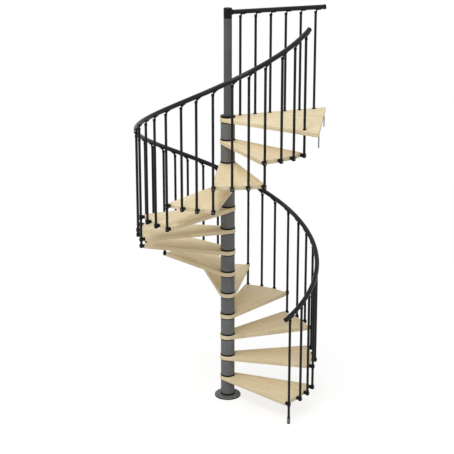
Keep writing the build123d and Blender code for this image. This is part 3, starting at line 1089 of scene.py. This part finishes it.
class STAIR_OT_balusters(bpy.types.Operator):
    """Make the uprights round the flight and the socket on the floor"""

    bl_idname = "stair.balusters"
    bl_label = "Balusters"

    def upright(self, bm, sizes, turn, foot):
        """One rod from its foot up to the rail's cradle."""
        head = rail_point(sizes, turn).z - baluster_drop(sizes, rail_slope(sizes))
        place = Matrix.Translation(polar(sizes.circle, turn))
        outline = rod_outline(sizes.baluster_radius, foot, head, sizes.baluster_round)
        turn_solid(bm, outline, place, ROD_SEGMENTS)

    def execute(self, context):
        sizes, colours = context.scene.stair_sizes, context.scene.stair_colours
        coat = baluster_finish(colours)
        for number in range(1, STEP_COUNT + 1):
            bm = bmesh.new()
            foot = sizes.foot_base if number == 1 else clip_foot(sizes, number - 1)
            self.upright(bm, sizes, step_start(sizes, number), foot)
            for place in range(1, len(sizes.clip_shares) - 1):
                self.upright(bm, sizes, clip_turn(sizes, number, place), clip_foot(sizes, number))
            node_name = f"balusters_{number:02d}"
            add_piece(f"rods_{node_name}", bm, coat, [node_name])
        bm = bmesh.new()
        self.upright(bm, sizes, step_start(sizes, STEP_COUNT + 1), clip_foot(sizes, STEP_COUNT))
        add_piece("rod_end_baluster", bm, coat, ["end_baluster"])

        bm = bmesh.new()
        place = Matrix.Translation(polar(sizes.circle, sizes.first_turn))
        body_foot, body_head = sizes.foot_ring, sizes.foot_height - sizes.foot_ring
        body = rod_outline(sizes.foot_radius, body_foot, body_head, sizes.fine_round)
        turn_solid(bm, body, place, SOCKET_SEGMENTS)
        socket_coat = powder_coat("socket_coat", colours.sleeve_grey, SOCKET_GLOSS)
        add_piece("floor_socket", bm, socket_coat, ["floor_foot"])

        bm = bmesh.new()
        for foot, head in ((0.0, body_foot), (body_head, sizes.foot_height)):
            ring = rod_outline(sizes.foot_radius, foot, head, sizes.collar_round)
            turn_solid(bm, ring, place, SOCKET_SEGMENTS)
        black = fitting_finish(colours)
        add_piece("floor_socket_rings", bm, black, ["floor_foot"])
        return {"FINISHED"}


class STAIR_OT_clips(bpy.types.Operator):
    """Make the clips on the tread edges, with their clamping screws"""

    bl_idname = "stair.clips"
    bl_label = "Edge clips"

    def execute(self, context):
        sizes, colours = context.scene.stair_sizes, context.scene.stair_colours
        clips, screws = bmesh.new(), bmesh.new()
        half = sizes.clip_height / 2
        reach = sizes.circle - sizes.tread_radius
        barrel = rod_outline(sizes.clip_radius, -half, half, sizes.collar_round)
        stub = soften(
            [
                (0.0, 0.0),
                (sizes.clip_rosette, 0.0),
                (sizes.clip_rosette, sizes.clip_plate),
                (sizes.clip_neck, sizes.clip_taper),
                (sizes.clip_neck, reach),
                (0.0, reach),
            ],
            sizes.collar_round, closed=False,
        )
        face = sizes.clip_radius + sizes.screw_proud
        hole_floor = face - sizes.screw_depth
        head = soften(
            [
                (0.0, 0.0),
                (sizes.screw_radius, 0.0),
                (sizes.screw_radius, face),
                (sizes.screw_socket, face),
                (sizes.screw_socket, hole_floor),
                (0.0, hole_floor),
            ],
            sizes.screw_round, closed=False,
        )
        for number in range(1, STEP_COUNT + 1):
            height = clip_middle(sizes, number)
            for place in range(len(sizes.clip_shares)):
                turn = clip_turn(sizes, number, place)
                outward = polar(1.0, turn)
                centre = polar(sizes.circle, turn, height)
                edge = polar(sizes.tread_radius, turn, height)
                turn_solid(clips, barrel, Matrix.Translation(centre), ROD_SEGMENTS)
                turn_solid(clips, stub, facing(edge, outward), STUB_SEGMENTS)
                turn_solid(screws, head, facing(centre, outward), SCREW_SEGMENTS)
        black, steel = fitting_finish(colours), blackened_steel(colours)
        add_piece("tread_edge_clips", clips, black, ["edge_clips"])
        add_piece("clip_screws", screws, steel, ["edge_clips"])
        return {"FINISHED"}


class STAIR_OT_handrail(bpy.types.Operator):
    """Sweep the helical handrail and plug its ends"""

    bl_idname = "stair.handrail"
    bl_label = "Handrail"

    def execute(self, context):
        sizes, colours = context.scene.stair_sizes, context.scene.stair_colours
        start = sizes.first_turn - sizes.rail_lower_run / sizes.circle
        stop = step_start(sizes, STEP_COUNT + 1) + sizes.rail_upper_run / sizes.circle
        run = stop - start
        turns = [start + run * step / RAIL_STEPS for step in range(RAIL_STEPS + 1)]
        points = [rail_point(sizes, turn) for turn in turns]
        bm = bmesh.new()
        sweep_rod(bm, points, sizes.rail_radius)
        spans = [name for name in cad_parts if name.startswith("handrail_")]
        add_piece("helical_rail", bm, rail_finish(colours), spans)

        bm = bmesh.new()
        plug = plug_outline(sizes, sizes.plug_lip)
        for end, inner in ((points[0], points[1]), (points[-1], points[-2])):
            turn_solid(bm, plug, facing(end, end - inner), RAIL_SEGMENTS)
        add_piece("rail_end_plugs", bm, fitting_finish(colours), spans)
        return {"FINISHED"}


class STAIR_OT_guard(bpy.types.Operator):
    """Make the straight guard along the landing's back edge"""

    bl_idname = "stair.guard"
    bl_label = "Landing guard"

    def execute(self, context):
        sizes, colours = context.scene.stair_sizes, context.scene.stair_colours
        landing_top = step_top(sizes, STEP_COUNT + 1)
        rail_z = node_middle("landing_rail").z
        along = polar(1.0, guard_turn(sizes))
        black = fitting_finish(colours)
        offset = sizes.hub_radius - sizes.guard_inset
        start = (sizes.cap_radius**2 - min(offset, sizes.cap_radius)**2) ** 0.5

        bm = bmesh.new()
        run = sizes.guard_length - start
        reaches = [start + run * step / GUARD_STEPS for step in range(GUARD_STEPS + 1)]
        points = [guard_point(sizes, reach, rail_z) for reach in reaches]
        sweep_rod(bm, points, sizes.rail_radius)
        add_piece("straight_rail", bm, rail_finish(colours), ["landing_rail"])

        bm = bmesh.new()
        plug = plug_outline(sizes, sizes.guard_plug_lip)
        turn_solid(bm, plug, facing(points[-1], along), RAIL_SEGMENTS)
        collar = rod_outline(
            sizes.coupling_radius, sizes.coupling_start, sizes.coupling_end, sizes.collar_round
        )
        turn_solid(bm, collar, facing(guard_point(sizes, 0.0, rail_z), along), RAIL_SEGMENTS)
        add_piece("straight_rail_fittings", bm, black, ["landing_rail"])

        rods, feet = bmesh.new(), bmesh.new()
        head = rail_z - baluster_drop(sizes, 0.0)
        rod = rod_outline(sizes.baluster_radius, landing_top, head, sizes.baluster_round)
        ring_top = landing_top + sizes.ring_height
        foot = tube_outline(
            sizes.baluster_radius, sizes.ring_radius, landing_top, ring_top, sizes.collar_round
        )
        for reach in guard_reaches(sizes):
            place = Matrix.Translation(guard_point(sizes, reach, 0.0))
            turn_solid(rods, rod, place, ROD_SEGMENTS)
            turn_ring(feet, foot, place, RAIL_SEGMENTS)
        coat = baluster_finish(colours)
        add_piece("rods_guard", rods, coat, ["landing_balusters"])
        add_piece("guard_feet", feet, black, ["landing_baluster_feet"])

        bm = bmesh.new()
        place = Matrix.Translation(polar(sizes.circle, step_start(sizes, STEP_COUNT + 1)))
        turn_ring(bm, foot, place, RAIL_SEGMENTS)
        add_piece("end_baluster_ring", bm, black, ["landing_ring"])
        return {"FINISHED"}


class STAIR_OT_saddles(bpy.types.Operator):
    """Make the cradles under the rails, with the arms and knobs that carry them"""

    bl_idname = "stair.saddles"
    bl_label = "Rail cradles"

    def cradle(self, bm, sizes, places):
        """Plate along a row of placements, thinner at its two ends."""
        thick = cradle_section(sizes, sizes.saddle_thickness)
        thin = cradle_section(sizes, sizes.saddle_thickness / 2)
        sweep_section(bm, places, [thin] + [thick] * (len(places) - 2) + [thin])

    def knob(self, bm, sizes, rail_centre, uphill, slope):
        """Knob over a baluster and the leaning arm from it up to the cradle."""
        drop = baluster_drop(sizes, slope)
        roof = sizes.knob_roof
        base = rail_centre - Vector((0.0, 0.0, drop))
        outline = rod_outline(sizes.knob_radius, roof - sizes.knob_height, roof, sizes.collar_round)
        turn_solid(bm, outline, Matrix.Translation(base), ROD_SEGMENTS)
        lean = uphill * sin(sizes.arm_lean) + Vector((0.0, 0.0, cos(sizes.arm_lean)))
        depth = drop - roof / 2 - (sizes.rail_radius + sizes.saddle_thickness / 2) / cos(slope)
        reach = depth / (cos(sizes.arm_lean) - sin(sizes.arm_lean) * tan(slope))
        arm = rod_outline(sizes.arm_radius, 0.0, reach, sizes.fine_round)
        turn_solid(bm, arm, facing(base + Vector((0.0, 0.0, roof / 2)), lean), ARM_SEGMENTS)

    def execute(self, context):
        sizes, colours = context.scene.stair_sizes, context.scene.stair_colours
        black = fitting_finish(colours)

        bm = bmesh.new()
        slope = rail_slope(sizes)
        run = cos(slope) / sizes.circle
        turns = [step_start(sizes, STEP_COUNT + 1)]
        for number in range(1, STEP_COUNT + 1):
            for place in range(len(sizes.clip_shares) - 1):
                turns.append(clip_turn(sizes, number, place))
        full = sizes.saddle_downhill + sizes.saddle_uphill
        offsets = [(share * full - sizes.saddle_downhill) * run for share in CRADLE_SHARES]
        for turn in turns:
            self.cradle(bm, sizes, [rail_place(sizes, turn + offset) for offset in offsets])
            self.knob(bm, sizes, rail_point(sizes, turn), polar(1.0, turn + pi / 2), slope)
        add_piece("helical_rail_cradles", bm, black, ["rail_saddles"])

        bm = bmesh.new()
        rail_z = node_middle("landing_rail").z
        along = polar(1.0, guard_turn(sizes))
        full = sizes.guard_saddle_end - sizes.guard_saddle_start
        offsets = [sizes.guard_saddle_start + share * full for share in CRADLE_SHARES]
        for reach in guard_reaches(sizes):
            points = [guard_point(sizes, reach + offset, rail_z) for offset in offsets]
            self.cradle(bm, sizes, [facing(point, along) for point in points])
            self.knob(bm, sizes, guard_point(sizes, reach, rail_z), along, 0.0)
        add_piece("straight_rail_cradles", bm, black, ["landing_rail_saddles"])
        return {"FINISHED"}


class STAIR_OT_brackets(bpy.types.Operator):
    """Finish the angles under the landing's outer edge"""

    bl_idname = "stair.brackets"
    bl_label = "Landing brackets"

    def execute(self, context):
        colours = context.scene.stair_colours
        coat = powder_coat("bracket_coat", colours.bracket_grey, BRACKET_GLOSS)
        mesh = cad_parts["landing_brackets"].data
        mesh.materials.clear()
        mesh.materials.append(coat)
        return {"FINISHED"}


def sees_white(tree):
    """1 for the rays that show the surroundings, 0 for those that light the stair."""
    path = node(tree, "ShaderNodeLightPath")
    seen = path.outputs["Is Camera Ray"]
    for kind in ("Is Glossy Ray", "Is Transmission Ray"):
        seen = arithmetic(tree, "MAXIMUM", seen, path.outputs[kind])
    return seen


def floor_finish(stage):
    """Pale matt floor that keeps the shadow and looks white to the camera."""
    material = bpy.data.materials.new("stage_floor")
    material.use_nodes = True
    tree = material.node_tree
    tree.nodes.clear()
    diffuse = node(tree, "ShaderNodeBsdfDiffuse", {"Color": (*stage.floor_white, 1.0)})
    glow = node(tree, "ShaderNodeEmission")
    seen = sees_white(tree)
    tree.links.new(arithmetic(tree, "MULTIPLY", seen, stage.floor_glow), glow.inputs["Strength"])
    near = node(tree, "ShaderNodeAddShader")
    tree.links.new(diffuse.outputs["BSDF"], near.inputs[0])
    tree.links.new(glow.outputs["Emission"], near.inputs[1])
    far = node(tree, "ShaderNodeEmission")
    reach = node(tree, "ShaderNodeVectorMath", operation="LENGTH")
    tree.links.new(node(tree, "ShaderNodeTexCoord").outputs["Object"], reach.inputs[0])
    band = (stage.floor_near, stage.floor_far)
    share = remap(tree, reach.outputs["Value"], band, (stage.floor_fade, 1.0))
    both = node(tree, "ShaderNodeMixShader")
    tree.links.new(arithmetic(tree, "MULTIPLY", share, seen), both.inputs["Fac"])
    tree.links.new(near.outputs["Shader"], both.inputs[1])
    tree.links.new(far.outputs["Emission"], both.inputs[2])
    output = node(tree, "ShaderNodeOutputMaterial")
    tree.links.new(both.outputs["Shader"], output.inputs["Surface"])
    return material


class STAIR_OT_stage(bpy.types.Operator):
    """Set up the floor, the light and the camera"""

    bl_idname = "stair.stage"
    bl_label = "Stage"

    def lay_floor(self, stage):
        """Wide level floor under the stair."""
        bm = bmesh.new()
        half = stage.floor_half
        corners = [(-half, -half, 0.0), (half, -half, 0.0), (half, half, 0.0), (-half, half, 0.0)]
        bm.faces.new([bm.verts.new(corner) for corner in corners])
        mesh = bpy.data.meshes.new("studio_floor")
        bm.to_mesh(mesh)
        bm.free()
        mesh.materials.append(floor_finish(stage))
        floor = bpy.data.objects.new("studio_floor", mesh)
        bpy.context.scene.collection.objects.link(floor)

    def light(self, scene, stage):
        """White surroundings and soft lamps in front, overhead and at the left."""
        world = bpy.data.worlds.new("studio")
        world.use_nodes = True
        tree = world.node_tree
        background = tree.nodes["Background"]
        background.inputs["Color"].default_value = (1.0, 1.0, 1.0, 1.0)
        level = remap(tree, sees_white(tree), FULL, (stage.sky_level, 1.0))
        tree.links.new(level, background.inputs["Strength"])
        scene.world = world
        for name in ("softbox", "toplight", "sidelight"):
            self.hang_lamp(scene, stage, name)

    def hang_lamp(self, scene, stage, name):
        """Square lamp that faces the stair."""
        lamp = bpy.data.lights.new(name, "AREA")
        lamp.size = getattr(stage, f"{name}_size")
        lamp.energy = getattr(stage, f"{name}_power")
        hung = bpy.data.objects.new(name, lamp)
        scene.collection.objects.link(hung)
        hung.location = getattr(stage, f"{name}_place")
        aim = Vector(stage.lamp_aim) - hung.location
        hung.rotation_euler = aim.to_track_quat("-Z", "Y").to_euler()

    def aim_camera(self, scene, stage):
        """Camera in front of the stair, tilted down."""
        data = bpy.data.cameras.new("front_camera")
        data.sensor_width = SENSOR_WIDTH
        data.lens = stage.lens
        data.shift_y = stage.shift
        data.clip_end = CLIP_END
        camera = bpy.data.objects.new("front_camera", data)
        scene.collection.objects.link(camera)
        camera.location = (0.0, -stage.camera_distance, stage.camera_height)
        camera.rotation_euler = (pi / 2 - stage.camera_tilt, 0.0, stage.camera_yaw)
        scene.camera = camera

    def execute(self, context):
        scene, stage = context.scene, context.scene.stair_stage
        self.lay_floor(stage)
        self.light(scene, stage)
        self.aim_camera(scene, stage)
        scene.view_settings.view_transform = "Standard"
        return {"FINISHED"}


MAKERS = (
    STAIR_OT_base_flange,
    STAIR_OT_column,
    STAIR_OT_newel,
    STAIR_OT_treads,
    STAIR_OT_landing,
    STAIR_OT_balusters,
    STAIR_OT_clips,
    STAIR_OT_handrail,
    STAIR_OT_guard,
    STAIR_OT_saddles,
    STAIR_OT_brackets,
    STAIR_OT_stage,
)


class STAIR_PT_pieces(bpy.types.Panel):
    """Lists the stair's pieces and their settings"""

    bl_idname = "STAIR_PT_pieces"
    bl_label = "Spiral Stair"
    bl_space_type = "VIEW_3D"
    bl_region_type = "UI"
    bl_category = "Stair"

    def draw(self, context):
        for maker in MAKERS:
            self.layout.operator(maker.bl_idname)
        for key, group in GROUPS.items():
            box = self.layout.box()
            box.label(text=group.__doc__)
            for name in group.__annotations__:
                box.prop(getattr(context.scene, key), name)


GROUPS = {
    "stair_sizes": StairSizes,
    "stair_colours": StairColours,
    "stair_wood": StairWood,
    "stair_stage": StairStage,
}
CLASSES = (*GROUPS.values(), *MAKERS, STAIR_PT_pieces)


def register():
    """Make the classes known and give the scene its settings."""
    for kind in CLASSES:
        bpy.utils.register_class(kind)
    for key, group in GROUPS.items():
        setattr(bpy.types.Scene, key, PointerProperty(type=group))


def unregister():
    """Take the settings and the classes away again."""
    for key in GROUPS:
        delattr(bpy.types.Scene, key)
    for kind in reversed(CLASSES):
        bpy.utils.unregister_class(kind)


def main():
    """Register the classes, make every piece and set up the stage."""
    register()
    bpy.ops.stair.base_flange()
    bpy.ops.stair.column()
    bpy.ops.stair.newel()
    bpy.ops.stair.treads()
    bpy.ops.stair.landing()
    bpy.ops.stair.balusters()
    bpy.ops.stair.clips()
    bpy.ops.stair.handrail()
    bpy.ops.stair.guard()
    bpy.ops.stair.saddles()
    bpy.ops.stair.brackets()
    bpy.ops.stair.stage()


if __name__ == "__main__":
    main()
